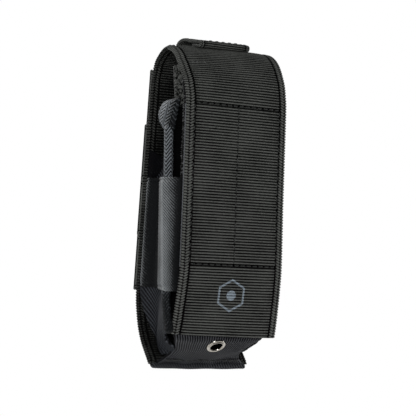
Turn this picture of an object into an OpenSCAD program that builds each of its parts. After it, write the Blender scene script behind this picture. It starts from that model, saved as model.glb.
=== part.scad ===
// Sheath for a folding multi tool, sewn from woven nylon webbing.
// Millimetres. +X is the wearer-facing right of the flap, +Y is the back, +Z is up.
// The origin lies on the back face of the strap, in the middle of its crossing over row 2.

/* [Webbing] */
// Width of the wide webbing of the back, the front and the flap
web_w = 50.8; // [50:0.1:52]
// Thickness of the wide webbing
web_t = 2.2; // [1.8:0.1:2.6]
// Height of one row of narrow webbing
row_h = 25.4; // [25:0.1:26]
// Thickness of the narrow webbing in the rows
row_t = 2; // [1.6:0.1:2.2]
// Gap between two neighbouring rows
row_gap = 0.3; // [0.2:0.1:1]
// Width of the strap woven through the rows
strap_w = 25.4; // [25:0.1:26]
// Thickness of the strap
strap_t = 1.8; // [1.4:0.1:2]

/* [Closure] */
// Width of the hook patch inside the flap
hook_w = 50; // [38:1:50]
// Thickness of the hook patch
hook_t = 1.5; // [1:0.1:2]
// Width of the loop patch on the front
loop_w = 36; // [30:1:40]
// Thickness of the loop patch
loop_t = 1.4; // [1:0.1:2]
// Diameter of the printed mark on the flap
mark_d = 15; // [10:0.5:18]
// Thickness of the ink of the printed mark
ink_t = 0.12; // [0.1:0.01:0.2]

/* [Body] */
// Thickness of the side gusset cloth
cloth_t = 0.8; // [0.6:0.1:1.2]
// Thickness of the elastic of the side pockets
elastic_t = 1.5; // [1:0.1:2]
// Height of the elastic side pockets
elastic_h = 50; // [40:1:60]
// Thickness of the floor panel
floor_t = 1.6; // [1.2:0.1:2]
// Width of the rolled binding along the front edges
roll_d = 4.4; // [3.5:0.1:5]
// Width of the bottom hem
hem_w = 48.9; // [46:0.1:50]

/* [Metal parts] */
// Outer diameter of the drain eyelet
eyelet_d = 8.9; // [7:0.1:10]
// Bore of the drain eyelet
eyelet_bore = 5; // [4:0.1:6]
// Diameter of the snap cap
cap_d = 12.4; // [10:0.1:15]
// Height of the snap cap
cap_h = 1.3; // [1:0.1:2]

/* [Hidden] */
$fn = 48;

// Half of the gap kept between pieces that fold against each other.
fold_gap = 0.15;
// Air kept beside the strap where the rows let it through.
air = 0.3;
// Long enough to cut through everything.
far = 400;

// Colours of the materials.
webbing_color = [0.11, 0.11, 0.11];
cloth_color = [0.08, 0.09, 0.1];
elastic_color = [0.22, 0.22, 0.22];
tape_color = [0.17, 0.19, 0.2];
hook_color = [0.09, 0.09, 0.09];
nickel_color = [0.78, 0.78, 0.76];
ink_color = [0.52, 0.58, 0.62];

// The rear fold of the flap and the front fold, as [y, z] on the outside of the webbing.
rear_fold = [-5.2, 40];
front_fold = [-41, 30];

// Outside of the webbing as seen from the side, as [y, z] points.
row_back = -strap_t;
back_face = row_back - row_t;
back_head = [rear_fold, [-4.3, 37.7], [back_face - 0.1, 35.4], [back_face, 33], [back_face, 31]];
back_foot = [
    [back_face, -60], [back_face - 0.1, -63.6], [-4.5, -68], [-6.1, -74], [-9, -81],
    [-13, -86.8], [-17.4, -91.2], [-21, -94.6]
];
arch_points = [
    rear_fold, [-6.3, 42.8], [-10, 45.9], [-14.6, 47.6], [-19.8, 48.6], [-25.2, 48.1],
    [-30.6, 45.8], [-35.2, 41.9], [-38.6, 37.2], [-40.3, 33.4], front_fold
];
flap_points = [
    front_fold, [-41.9, 23.4], [-43.8, 0], [-45.7, -24], [-47.2, -47], [-47.1, -56],
    [-46.3, -66], [-45.4, -73], [-44.4, -79]
];
floor_points = [
    [-42.2, -74.3], [-41.7, -77.5], [-41.6, -80], [-41.5, -82.08], [-35.1, -87.8],
    [-29.4, -91.4], [-24.6, -94.6]
];
hem_outline = [
    [-25.4, -94.75], [-20.2, -94.75], [-20.4, -96.6], [-22, -97.4], [-24.6, -97.4], [-25.6, -96.4]
];

// The tab: the strap leaves row 1, arches over the fold and ends in a doubled hem on the flap.
tab_points = [
    [-1.4, 45.7], [-1.6, 49.6], [-3.4, 52.2], [-6.8, 53.3], [-11, 53.7], [-15.8, 53], [-21, 51.6],
    [-26.2, 49.9]
];
tab_hem_outline = [[-18.4, 50.35], [-26.1, 48.05], [-26.2, 49.9], [-21, 51.6], [-17.6, 52.5]];

// The strap through the rows: height of the straight runs, and where it crosses between rows.
strap_top = 38.6;
cross_high = 14;
cross_low = 11.4;
cross_end = 34;
strap_under = row_back - row_t + strap_t;
strap_points = [
    [strap_under, strap_top], [strap_under, cross_high], [0, cross_low], [0, -cross_low],
    [strap_under, -cross_high], [strap_under, -cross_end], [-0.1, -36.6]
];
notch = 1.4;
notch_deep = 4.2;
notch_w = strap_w + 2 * air;

// Front panel: a shallow channel, leaning forward toward its foot, and its top leaning back.
panel_top = 24.5;
panel_top_y = -36.4;
panel_lean = 3.68;
panel_length = 98.2;
head_lean = 15.4;
head_length = 13.5;
panel_flat = 17.5;
panel_side = [25, 6.8];
panel_plan = [
    [-panel_side[0], panel_side[1]], [-23.2, 3.6], [-20.6, 1.2], [-panel_flat, 0],
    [panel_flat, 0], [20.6, 1.2], [23.2, 3.6], panel_side
];

// Loop and hook patches.
loop_length = 81;
loop_head = 16;
loop_points = [
    [panel_top_y + loop_head * sin(head_lean), panel_top + loop_head * cos(head_lean)],
    [panel_top_y, panel_top],
    [panel_top_y - loop_length * sin(panel_lean), panel_top - loop_length * cos(panel_lean)]
];
hook_top = 23;
hook_foot = -50;

// Rolled side binding, as [y, z] along its middle.
roll_points = [
    [-27.3, 12.5], [-28.6, 4], [-30.2, -8], [-32.4, -26], [-34.6, -46], [-36.2, -60],
    [-38, -70], [-39.4, -75.5]
];
roll_x = 26.2;

// End of the side binding: the tape is folded back over itself at the top, as [y, z].
binding_end_outline = [
    [-18.2, 21.6], [-16.2, 18.8], [-16, 17], [-17.8, 14], [-22.4, 12.8], [-30.2, 12.8],
    [-34, 24.4], [-31, 24.9], [-26, 24.2]
];
binding_end_t = 2.4;
binding_end_x = 25.1 + binding_end_t / 2;

// Side gusset: folded inward between the back and the front, as [x, y] for the left side.
gusset_plan = [
    [-24.6, -6.1], [-22.6, -9], [-21, -13.5], [-20.4, -19], [-20.8, -24.6], [-22.6, -28.6],
    [-24.2, -30.6], [-24.4, -38]
];
gusset_outline = [
    [-6.1, 1.3], [-6.1, -58], [-6.7, -66], [-8.3, -72.5], [-11.2, -79.3], [-15, -85.3],
    [-21.6, -91.4], [-27.8, -89.6], [-32.6, -86], [-34.6, -82], [-34.4, -76], [-30.3, -9.4]
];

// Elastic pocket, as [x, y] for the left side; the band leans forward like the front panel.
elastic_plan = [
    [-25.6, -6.3], [-27.3, -9], [-27.5, -12.6], [-26.2, -15.6], [-25.5, -19], [-27.6, -22.6],
    [-30, -26.6], [-31, -31.4], [-30.4, -36], [-28.6, -39.2], [-25.6, -40.5], [-20.8, -40.4]
];
elastic_top = -11.8;
elastic_lean = 3;

// Floor panel: narrow in the middle of its slope, flaring into the hem, as [x, z].
floor_outline = [
    [-23, -70], [-23.2, -78], [-20.6, -82.5], [-19.4, -86], [-20.6, -90.5], [-24.4, -94.6],
    [24.4, -94.6], [20.6, -90.5], [19.4, -86], [20.6, -82.5], [23.2, -78], [23, -70]
];

// Drain eyelet: middle and the downward tilt of its axis.
eyelet_at = [0, -38.3, -84.94];
eyelet_tilt = 48.2;
flange_t = 0.7;
barrel_t = 0.4;
washer_t = 0.6;
washer_d = 7.6;

// Snap fastener, on the middle of row 4.
snap_z = -2 * row_h;
post_r = 1.5;
post_head = [4.5, 0.8];
stud_flange = [4.2, 0.4];
stud_r = 2.4;
stud_h = 1;
socket_r = [2.8, 5];
socket_depth = 1.25;
tail_t = strap_t - 0.2;
tail_top = -38.4;
tail_foot = -63;

// Printed mark: a nut outline around a disc.
mark_at = [0.7, -61.4];
mark_line = 1;
mark_disc = 4.6;
nut_sides = 6;

function unit(v) = v / norm(v);
function across(a, b) = let (d = unit(b - a)) [-d[1], d[0]];
function last(list) = len(list) - 1;
function normal_at(line, i) =
    i == 0 ? across(line[0], line[1])
    : i == last(line) ? across(line[i - 1], line[i])
    : unit(across(line[i - 1], line[i]) + across(line[i], line[i + 1]));
function shifted(line, by) = [for (i = [0:last(line)]) line[i] + by * normal_at(line, i)];
function reversed(line) = [for (i = [last(line):-1:0]) line[i]];
function curve_point(a, b, c, d, t) =
    0.5 * (2 * b + (c - a) * t + (2 * a - 5 * b + 4 * c - d) * t * t
    + (3 * b - a - 3 * c + d) * t * t * t);
function smooth(p, steps = 4) = concat(
    [for (i = [0:last(p) - 1]) for (k = [0:steps - 1])
        curve_point(p[max(i - 1, 0)], p[i], p[i + 1], p[min(i + 2, last(p))], k / steps)],
    [p[last(p)]]
);
function band(line, from, to) = concat(shifted(line, from), reversed(shifted(line, to)));
// The line with both ends drawn back by a small gap.
function trimmed(line, gap) = concat(
    [line[0] + gap * unit(line[1] - line[0])],
    [for (i = [1:last(line) - 1]) line[i]],
    [line[last(line)] + gap * unit(line[last(line) - 1] - line[last(line)])]
);

back_line = trimmed(concat(smooth(back_head), smooth(back_foot)), fold_gap);
arch_line = trimmed(smooth(arch_points), fold_gap);
flap_line = trimmed(smooth(flap_points), fold_gap);

// A side-view outline in [y, z], as wide as width, centred on x.
module side_slab(outline, width, x = 0) {
    translate([x - width / 2, 0, 0])
        rotate([90, 0, 90])
            linear_extrude(width)
                polygon(outline);
}

// A front-view outline in [x, z], reaching through the whole depth.
module front_slab(outline) {
    translate([0, far / 2, 0])
        rotate([90, 0, 0])
            linear_extrude(far)
                polygon(outline);
}

// A plan outline in [x, y], standing on its foot.
module plan_slab(outline, foot, height) {
    translate([0, 0, foot])
        linear_extrude(height)
            polygon(outline);
}

// A round bar along +Y from y0.
module bar(radius, y0, length) {
    translate([0, y0 + length, snap_z])
        rotate([90, 0, 0])
            cylinder(r = radius, h = length);
}

// Places its children on the front panel: x across, y outward from the face, z up from the top.
module on_front() {
    translate([0, panel_top_y, panel_top])
        rotate([-panel_lean, 0, 0])
            children();
}

module left_and_right(side) {
    mirror([side == "right" ? 1 : 0, 0, 0])
        children();
}

module back_panel() {
    color(webbing_color)
        difference() {
            side_slab(band(back_line, 0, -web_t), web_w);
            bar(post_r, back_face - 2 * web_t, 3 * web_t);
        }
}

// Places its children on the head of the front panel, z up along it.
module on_head() {
    translate([0, panel_top_y, panel_top])
        rotate([-head_lean, 0, 0])
            children();
}

module front_panel() {
    color(webbing_color)
        union() {
            on_front()
                plan_slab(band(panel_plan, 0, web_t), -panel_length, panel_length);
            on_head()
                plan_slab(band(panel_plan, 0, web_t), 0, head_length);
        }
}

module loop_patch() {
    color(hook_color)
        side_slab(band(loop_points, 0, -loop_t), loop_w);
}

module binding_end(side) {
    color(tape_color)
        left_and_right(side)
            side_slab(binding_end_outline, binding_end_t, -binding_end_x);
}

module binding_end_left() {
    binding_end("left");
}

module binding_end_right() {
    binding_end("right");
}

module side_binding(side) {
    color(tape_color)
        left_and_right(side)
            side_slab(band(smooth(roll_points, 3), -roll_d / 2, roll_d / 2), roll_d / 2, -roll_x);
}

module side_binding_left() {
    side_binding("left");
}

module side_binding_right() {
    side_binding("right");
}

module side_gusset(side) {
    color(cloth_color)
        left_and_right(side)
            intersection() {
                plan_slab(band(smooth(gusset_plan, 3), 0, cloth_t), -far / 2, far);
                side_slab(gusset_outline, far);
            }
}

module side_gusset_left() {
    side_gusset("left");
}

module side_gusset_right() {
    side_gusset("right");
}

module elastic_pocket(side) {
    color(elastic_color)
        left_and_right(side)
            translate([0, 0, elastic_top])
                rotate([-elastic_lean, 0, 0])
                    plan_slab(band(smooth(elastic_plan, 3), 0, elastic_t), -elastic_h, elastic_h);
}

module elastic_pocket_left() {
    elastic_pocket("left");
}

module elastic_pocket_right() {
    elastic_pocket("right");
}

// Places its children on the drain hole, z out of the floor.
module on_drain() {
    translate(eyelet_at)
        rotate([90 + eyelet_tilt, 0, 0])
            children();
}

module floor_panel() {
    color(cloth_color)
        difference() {
            intersection() {
                side_slab(band(floor_points, 0, floor_t), web_w);
                front_slab(floor_outline);
            }
            on_drain()
                cylinder(r = eyelet_bore / 2 + barrel_t, h = 6 * floor_t, center = true);
        }
}

module bottom_hem() {
    color(tape_color)
        side_slab(hem_outline, hem_w);
}

module drain_eyelet() {
    color(nickel_color)
        on_drain()
            rotate_extrude()
                translate([eyelet_bore / 2, 0])
                    difference() {
                        union() {
                            translate([0, -floor_t - washer_t])
                                square([barrel_t, floor_t + washer_t + flange_t]);
                            square([eyelet_d / 2 - eyelet_bore / 2, flange_t]);
                        }
                        translate([eyelet_d / 2 - eyelet_bore / 2, flange_t])
                            circle(r = flange_t / 2);
                    }
}

module drain_washer() {
    color(nickel_color)
        on_drain()
            translate([0, 0, -floor_t - washer_t])
                difference() {
                    cylinder(d = washer_d, h = washer_t);
                    translate([0, 0, -washer_t])
                        cylinder(r = eyelet_bore / 2 + barrel_t, h = 3 * washer_t);
                }
}

// Plan of a row: flat, or raised in the middle to bridge over the strap.
flat_row = [
    [-web_w / 2, row_back], [web_w / 2, row_back], [web_w / 2, back_face], [-web_w / 2, back_face]
];
bridge_row = [
    [-web_w / 2, row_back], [-16.5, row_back], [-13.8, 0], [13.8, 0], [16.5, row_back],
    [web_w / 2, row_back], [web_w / 2, back_face], [15.7, back_face], [13.2, strap_under],
    [-13.2, strap_under], [-15.7, back_face], [-web_w / 2, back_face]
];

// One row, number 1 at the top, with its edges let in where the strap crosses.
module webbing_row(number, plan, notch_above, notch_below) {
    foot = row_h * (1.5 - number) + row_gap / 2;
    height = row_h - row_gap;
    color(webbing_color)
        difference() {
            plan_slab(plan, foot, height);
            for (cut = [[foot + height - notch_above, notch_above], [foot, notch_below]])
                if (cut[1] > 0)
                    translate([-notch_w / 2, -row_h / 2, cut[0]])
                        cube([notch_w, row_h, cut[1]]);
        }
}

module webbing_row_1() {
    webbing_row(1, bridge_row, 0, notch);
}

module webbing_row_2() {
    webbing_row(2, flat_row, notch, notch);
}

module webbing_row_3() {
    webbing_row(3, bridge_row, notch, notch_deep);
}

module webbing_row_4() {
    difference() {
        webbing_row(4, flat_row, 0, 0);
        bar(post_r, -row_h / 2, row_h);
    }
}

module woven_strap() {
    color(webbing_color)
        side_slab(band(strap_points, 0, -strap_t), strap_w);
}

module snap_post() {
    color(nickel_color)
        union() {
            bar(post_head[0], back_face - web_t - post_head[1], post_head[1]);
            bar(post_r, back_face - web_t - post_head[1], web_t + row_t + post_head[1]);
        }
}

module snap_stud() {
    color(nickel_color)
        union() {
            bar(stud_flange[0], row_back, stud_flange[1]);
            bar(stud_r, row_back, stud_flange[1] + stud_h);
        }
}

module flap_arch() {
    color(webbing_color)
        side_slab(band(arch_line, 0, web_t), web_w);
}

module strap_tab() {
    color(webbing_color)
        union() {
            side_slab(band(smooth(tab_points), 0, strap_t), strap_w);
            side_slab(tab_hem_outline, strap_w);
        }
}

module flap_panel() {
    color(webbing_color)
        side_slab(band(flap_line, 0, web_t), web_w);
}

module hook_patch() {
    color(hook_color)
        intersection() {
            side_slab(band(flap_line, web_t, web_t + hook_t), hook_w);
            translate([-far / 2, -far / 2, hook_foot])
                cube([far, far, hook_top - hook_foot]);
        }
}

module nut_outline() {
    difference() {
        circle(d = mark_d, $fn = nut_sides);
        circle(d = mark_d - 2 * mark_line, $fn = nut_sides);
    }
    circle(d = mark_disc);
}

module printed_mark() {
    color(ink_color)
        intersection() {
            side_slab(band(flap_line, -ink_t, 0), mark_d);
            translate([mark_at[0], 0, mark_at[1]])
                rotate([90, 0, 0])
                    linear_extrude(far)
                        nut_outline();
        }
}

module strap_tail() {
    color(webbing_color)
        difference() {
            translate([-strap_w / 2, -tail_t, tail_foot])
                cube([strap_w, tail_t, tail_top - tail_foot]);
            bar(socket_r[1], -row_h / 2, row_h);
        }
}

module snap_cap() {
    color(nickel_color)
        translate([0, 0, snap_z])
            rotate([-90, 0, 0])
                rotate_extrude()
                    polygon([
                        [0, 0], [cap_d / 2, 0], [cap_d / 2, cap_h * 0.4], [cap_d * 0.42, cap_h * 0.8],
                        [cap_d * 0.3, cap_h], [0, cap_h]
                    ]);
}

module snap_socket() {
    color(nickel_color)
        difference() {
            bar(socket_r[1], -socket_depth, socket_depth);
            bar(socket_r[0], -2 * socket_depth, 3 * socket_depth);
        }
}

back_panel();
front_panel();
binding_end_left();
binding_end_right();
side_binding_left();
side_binding_right();
loop_patch();
side_gusset_left();
side_gusset_right();
elastic_pocket_left();
elastic_pocket_right();
floor_panel();
bottom_hem();
drain_eyelet();
drain_washer();
webbing_row_1();
webbing_row_2();
webbing_row_3();
webbing_row_4();
woven_strap();
snap_stud();
snap_post();
flap_arch();
strap_tab();
flap_panel();
hook_patch();
printed_mark();
strap_tail();
snap_cap();
snap_socket();
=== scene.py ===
import math
import bpy
import numpy as np
from mathutils import Matrix, Vector


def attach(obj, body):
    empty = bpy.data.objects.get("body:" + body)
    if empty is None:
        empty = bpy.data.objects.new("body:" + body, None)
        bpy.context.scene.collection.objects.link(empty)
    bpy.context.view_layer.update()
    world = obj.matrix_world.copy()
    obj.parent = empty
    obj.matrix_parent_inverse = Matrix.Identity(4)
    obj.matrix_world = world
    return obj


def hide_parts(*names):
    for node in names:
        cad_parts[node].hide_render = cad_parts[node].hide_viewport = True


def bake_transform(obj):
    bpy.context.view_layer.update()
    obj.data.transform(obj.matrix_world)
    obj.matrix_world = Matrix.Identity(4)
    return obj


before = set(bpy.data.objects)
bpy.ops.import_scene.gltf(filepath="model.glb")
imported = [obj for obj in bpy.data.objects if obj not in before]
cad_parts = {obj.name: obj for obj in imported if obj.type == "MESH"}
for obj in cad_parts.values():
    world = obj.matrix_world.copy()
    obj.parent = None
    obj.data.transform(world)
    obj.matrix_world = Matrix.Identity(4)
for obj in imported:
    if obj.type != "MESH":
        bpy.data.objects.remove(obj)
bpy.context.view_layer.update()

# ---------------------------------------------------------------------------------------------
# Studio: a table-top camera with a long lens, a pale floor well below the hanging sheath, and
# four soft boxes. Nothing here is part of the sheath.
# ---------------------------------------------------------------------------------------------
MM = 0.001
CAMERA_PLACE = (-308.7, -586.23, -16.21)
CAMERA_YAW, CAMERA_PITCH, CAMERA_ROLL = math.radians(28.66), math.radians(-0.65), math.radians(4.14)
LENS, SENSOR = 121.12, 36.0
FLOOR_DROP = 330.0
FLOOR_SIZE = 1600.0
PAPER = "#f4f4f2"
ROOM_LIGHT = 0.18
# Each soft box: its name, its place and its aim, its width and its power in watts.
SOFT_BOXES = (
    ("soft_box_key", (-460, -640, 150), (0, -20, -20), 300, 8.0),
    ("soft_box_top", (60, -260, 720), (0, -20, 0), 380, 0.35),
    ("soft_box_right", (700, -60, 160), (0, -20, -20), 420, 9.0),
    ("soft_box_back", (-260, 760, 320), (0, -20, -20), 420, 16.0),
)


def linear(hex_colour):
    """An sRGB hex colour as linear RGBA."""
    values = [int(hex_colour[i:i + 2], 16) / 255 for i in (1, 3, 5)]
    return tuple(v / 12.92 if v <= 0.04045 else ((v + 0.055) / 1.055) ** 2.4 for v in values) + (1.0,)


def add(tree, kind, links=None, **settings):
    """A node with its settings, and its inputs set to values or linked to other nodes' outputs."""
    node = tree.nodes.new(kind)
    for key, value in settings.items():
        setattr(node, key, value)
    for socket, source in (links or {}).items():
        if isinstance(source, bpy.types.NodeSocket):
            tree.links.new(source, node.inputs[socket])
        else:
            node.inputs[socket].default_value = source
    return node


def new_material(name):
    """An empty node material and its node tree."""
    material = bpy.data.materials.new(name)
    material.use_nodes = True
    material.node_tree.nodes.clear()
    return material, material.node_tree


def soft_box(name, place, aim, size, power):
    """A square soft box at place, facing aim, both in millimetres."""
    light = bpy.data.lights.new(name, "AREA")
    light.size = size * MM
    light.energy = power
    box = bpy.data.objects.new(name, light)
    bpy.context.collection.objects.link(box)
    box.location = Vector(place) * MM
    box.rotation_euler = (Vector(aim) - Vector(place)).to_track_quat("-Z", "Y").to_euler()


forward = Vector((
    math.sin(CAMERA_YAW) * math.cos(CAMERA_PITCH),
    math.cos(CAMERA_YAW) * math.cos(CAMERA_PITCH),
    math.sin(CAMERA_PITCH),
))
level = Vector((math.cos(CAMERA_YAW), -math.sin(CAMERA_YAW), 0))
upright = level.cross(forward)
right = level * math.cos(CAMERA_ROLL) + upright * math.sin(CAMERA_ROLL)
above = upright * math.cos(CAMERA_ROLL) - level * math.sin(CAMERA_ROLL)
lens = bpy.data.cameras.new("camera")
lens.lens = LENS
lens.sensor_width = SENSOR
lens.clip_start = 0.01
camera = bpy.data.objects.new("camera", lens)
bpy.context.collection.objects.link(camera)
camera.matrix_world = Matrix.Translation(Vector(CAMERA_PLACE) * MM) @ Matrix(
    (right, above, -forward)).transposed().to_4x4()
bpy.context.scene.camera = camera

for settings in SOFT_BOXES:
    soft_box(*settings)

world = bpy.data.worlds.new("studio")
bpy.context.scene.world = world
world.use_nodes = True
world.node_tree.nodes.clear()
ray = add(world.node_tree, "ShaderNodeLightPath")
room = add(world.node_tree, "ShaderNodeBackground", {"Color": linear("#f4f6f8"), "Strength": ROOM_LIGHT})
backdrop = add(world.node_tree, "ShaderNodeBackground", {"Color": linear("#ffffff"), "Strength": 1.0})
seen = add(world.node_tree, "ShaderNodeMixShader",
           {0: ray.outputs["Is Camera Ray"], 1: room.outputs[0], 2: backdrop.outputs[0]})
add(world.node_tree, "ShaderNodeOutputWorld", {"Surface": seen.outputs[0]})
bpy.context.scene.view_settings.view_transform = "Standard"

paper, tree = new_material("studio_paper")
coat = add(tree, "ShaderNodeBsdfPrincipled", {
    "Base Color": linear(PAPER), "Roughness": 0.9, "Emission Color": linear(PAPER),
    "Emission Strength": 0.3})
add(tree, "ShaderNodeOutputMaterial", {"Surface": coat.outputs[0]})
floor_mesh = bpy.data.meshes.new("studio_floor")
corners = [(-1, -1), (1, -1), (1, 1), (-1, 1)]
floor_mesh.from_pydata(
    [(x * FLOOR_SIZE * MM / 2, y * FLOOR_SIZE * MM / 2, -FLOOR_DROP * MM) for x, y in corners],
    [], [(0, 1, 2, 3)])
floor_mesh.materials.append(paper)
studio_floor = bpy.data.objects.new("studio_floor", floor_mesh)
bpy.context.collection.objects.link(studio_floor)

# ---------------------------------------------------------------------------------------------
# Back panel: 2 inch nylon webbing, woven with a rib every twentieth of an inch and knotted
# selvages. It runs from the top of the arch down the back and forward under the pouch to its hem.
# ---------------------------------------------------------------------------------------------
RIB = 1.27
RIB_DEPTH = 0.55
RIB_STEPS = 6
KNOT_HEIGHT = 0.62
# The rows of knots in a selvage: middle and half width as shares of it, and lean as a share of a rib.
KNOTS = ((0.13, 0.22, 0.1), (0.6, 0.3, -0.4))
EDGE_BEAD = 0.42
WEB_WIDTH = 50.8
WEB_THICK = 2.2
WEB_SELVAGE = 3.9
EDGE = 0.12
# How patchy wear makes a cloth, and the size of its patches.
WEAR, WEAR_SIZE = 0.5, 14
CROWN = 0.9
ARCH_REAR = [(-20.9, 48.6), (-19.8, 48.6), (-14.6, 47.7), (-10, 45.7), (-6.7, 42.6), (-5.0, 38.6),
             (-4.0, 34.4), (-3.9, 30)]
BACK = [(-3.9, 10), (-3.9, -15), (-3.9, -40), (-3.9, -60), (-4.5, -68), (-6.1, -74), (-9, -81),
        (-13, -86.8), (-17.4, -91.2), (-21, -94.6), (-22.2, -96)]


def unit(vectors):
    """The vectors at length 1."""
    return vectors / np.linalg.norm(vectors, axis=-1, keepdims=True)


def side_view(points):
    """Points of the side view, (y, z), as points in space on the middle plane."""
    p = np.asarray(points, float)
    return np.column_stack([np.zeros(len(p)), p])


def distances(points):
    """How far along the line through the points each of them is."""
    return np.concatenate([[0], np.cumsum(np.linalg.norm(np.diff(points, axis=0), axis=1))])


def spots(places, along, points):
    """The values at the given places of a line whose points lie at the distances along."""
    return np.stack([np.interp(places, along, points[:, k]) for k in range(points.shape[1])], -1)


def smooth_line(points, step):
    """A smooth line through the points in equal steps of about step, and how far along each is."""
    p = np.array(points, float)
    ends = np.vstack([2 * p[0] - p[1], p, 2 * p[-1] - p[-2]])
    t = np.linspace(0, 1, 24, endpoint=False)[:, None]
    pieces = []
    for a, b, c, d in zip(ends[:-3], ends[1:-2], ends[2:-1], ends[3:]):
        pieces.append(0.5 * (2 * b + (c - a) * t + (2 * a - 5 * b + 4 * c - d) * t ** 2
                             + (3 * b - a - 3 * c + d) * t ** 3))
    dense = np.vstack(pieces + [p[-1:]])
    along = distances(dense)
    places = np.linspace(0, along[-1], max(2, round(along[-1] / step)) + 1)
    return spots(places, along, dense), places


def step_up(value, low, high):
    """0 below low, 1 above high and smooth between."""
    t = np.clip((value - low) / (high - low), 0, 1)
    return t * t * (3 - 2 * t)


def make_mesh(name, points, groups, material, weave):
    """A mesh from points in millimetres, groups of faces, and the shade of each point: how high in the weave
    it lies, with painted light and shade added on some pieces.
    """
    mesh = bpy.data.meshes.new(name)
    sizes = np.concatenate([np.full(len(group), group.shape[1]) for group in groups])
    corner = np.concatenate([group.ravel() for group in groups]).astype(np.int32)
    mesh.vertices.add(len(points))
    mesh.vertices.foreach_set("co", (points * MM).astype(np.float32).ravel())
    mesh.loops.add(len(corner))
    mesh.loops.foreach_set("vertex_index", corner)
    mesh.polygons.add(len(sizes))
    mesh.polygons.foreach_set("loop_start", np.concatenate([[0], np.cumsum(sizes)[:-1]]).astype(np.int32))
    mesh.polygons.foreach_set("use_smooth", np.ones(len(sizes), bool))
    mesh.update(calc_edges=True)
    mesh.validate()
    mesh.attributes.new("weave", "FLOAT", "POINT").data.foreach_set(
        "value", np.clip(weave, 0, 1).astype(np.float32).ravel())
    mesh.materials.append(material)
    piece = bpy.data.objects.new(name, mesh)
    bpy.context.collection.objects.link(piece)
    return piece


def grid_quads(index):
    """The quads of a grid of point numbers."""
    return np.stack([index[:-1, :-1], index[:-1, 1:], index[1:, 1:], index[1:, :-1]], -1).reshape(-1, 4)


def woven(name, face, out, thick, heights, full, material, weave, sideways=0, hole=None):
    """A closed cloth. face is a grid of points on its outer face and out points out of it; heights and
    weave hold the height and the shade of the weave on the outer and the inner face, and full is 1 inside
    and small where the cloth ends. hole marks the points where the cloth is cut away."""
    middle = face - out * thick / 2
    outer = middle + out * (full * (thick / 2 + heights[0]))[..., None] + sideways
    inner = middle - out * (full * (thick / 2 + heights[1]))[..., None] + sideways
    index = np.arange(full.size).reshape(full.shape)
    rim = np.concatenate([index[0], index[1:, -1], index[-1, -2::-1], index[-2:0:-1, 0]])
    after = np.roll(rim, -1)
    border = np.stack([after, rim, rim + full.size, after + full.size], -1)
    quads = grid_quads(index)
    if hole is not None:
        cut = hole.ravel()[quads].all(axis=1)
        edges = np.stack([quads, np.roll(quads, -1, axis=1)], -1)
        kept = {tuple(edge) for edge in edges[~cut].reshape(-1, 2).tolist()}
        rims = [(a, b) for a, b in edges[cut].reshape(-1, 2).tolist() if (b, a) in kept]
        border = np.vstack([border] + [[a, b, b + full.size, a + full.size] for a, b in rims])
        quads = quads[~cut]
    return make_mesh(name, np.concatenate([outer.reshape(-1, 3), inner.reshape(-1, 3)]),
                     [quads, quads[:, ::-1] + full.size, border], material,
                     np.concatenate([np.ravel(w) for w in weave]))


def round_edge(distance, turn):
    """How full a cloth is at a distance from its edge, when the edge is rounded over the length turn."""
    u = np.clip(1 - distance / turn, 0, 1)
    return np.maximum(np.sqrt(1 - u * u), EDGE)


def ribbon(name, line, side, width, thick, relief, material, columns, bow=None, shape=None, inside=1.0):
    """A strip of webbing. line is the middle of its outer face, side the direction of its width, relief
    the height of the weave, bow lifts the whole cloth, and shape moves it sideways. inside scales the tone
    of the inner face: below 1 it is painted shade. Returns the piece and a function that gives places on its
    outer face."""
    points, along = line
    side = np.array(side, float)
    normal = np.cross(side, unit(np.gradient(points, axis=0)))
    s, x = np.meshgrid(along, columns, indexing="ij")
    turn = thick / 2
    full = round_edge(width / 2 - np.abs(x), turn) * round_edge(np.minimum(s, along[-1] - s), turn)
    lift = np.zeros_like(s) if bow is None else bow(s, x)
    across = x if shape is None else shape(s, x)
    heights = [relief(s, x, 1), relief(s, x, -1)]
    face = points[:, None] + side * across[..., None] + normal[:, None] * lift[..., None]
    out = np.broadcast_to(normal[:, None], face.shape)
    bead = np.clip((np.abs(x) - width / 2 + turn) / turn, 0, 1) * np.sign(x) * (heights[0] + EDGE_BEAD)
    shades = [1 + heights[0] / RIB_DEPTH, (1 + heights[1] / RIB_DEPTH) * inside]
    piece = woven(name, face, out, thick, heights, np.maximum(full, EDGE), material, shades,
                  sideways=side * bead[..., None])

    def place(s, across, high=0.0):
        """The points at distances s along and across the strip, raised by high, and the way out there."""
        s, across = np.broadcast_arrays(np.asarray(s, float), np.asarray(across, float))
        spot = spots(s, along, points)
        way = unit(spots(s, along, normal))
        rise = high + relief(s, across, 1) + (0 if bow is None else bow(s, across))
        moved = across if shape is None else shape(s, across)
        return spot + side * moved[..., None] + way * np.asarray(rise)[..., None], way

    return piece, place


def weave_columns(width, selvage, middle, extra=()):
    """Places across a strip: close together in each selvage and wide apart between."""
    edge = width / 2 - np.linspace(0, selvage + 0.4, 20)
    inside = np.linspace(-edge[-1], edge[-1], middle + 2)[1:-1]
    return np.unique(np.concatenate([-edge, inside, edge, extra]))


def rib_profile(along):
    """The height of the ribs, 0 on their crests."""
    return RIB_DEPTH * (np.abs(np.sin(np.pi * along / RIB)) ** 1.3 - 1)


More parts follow.
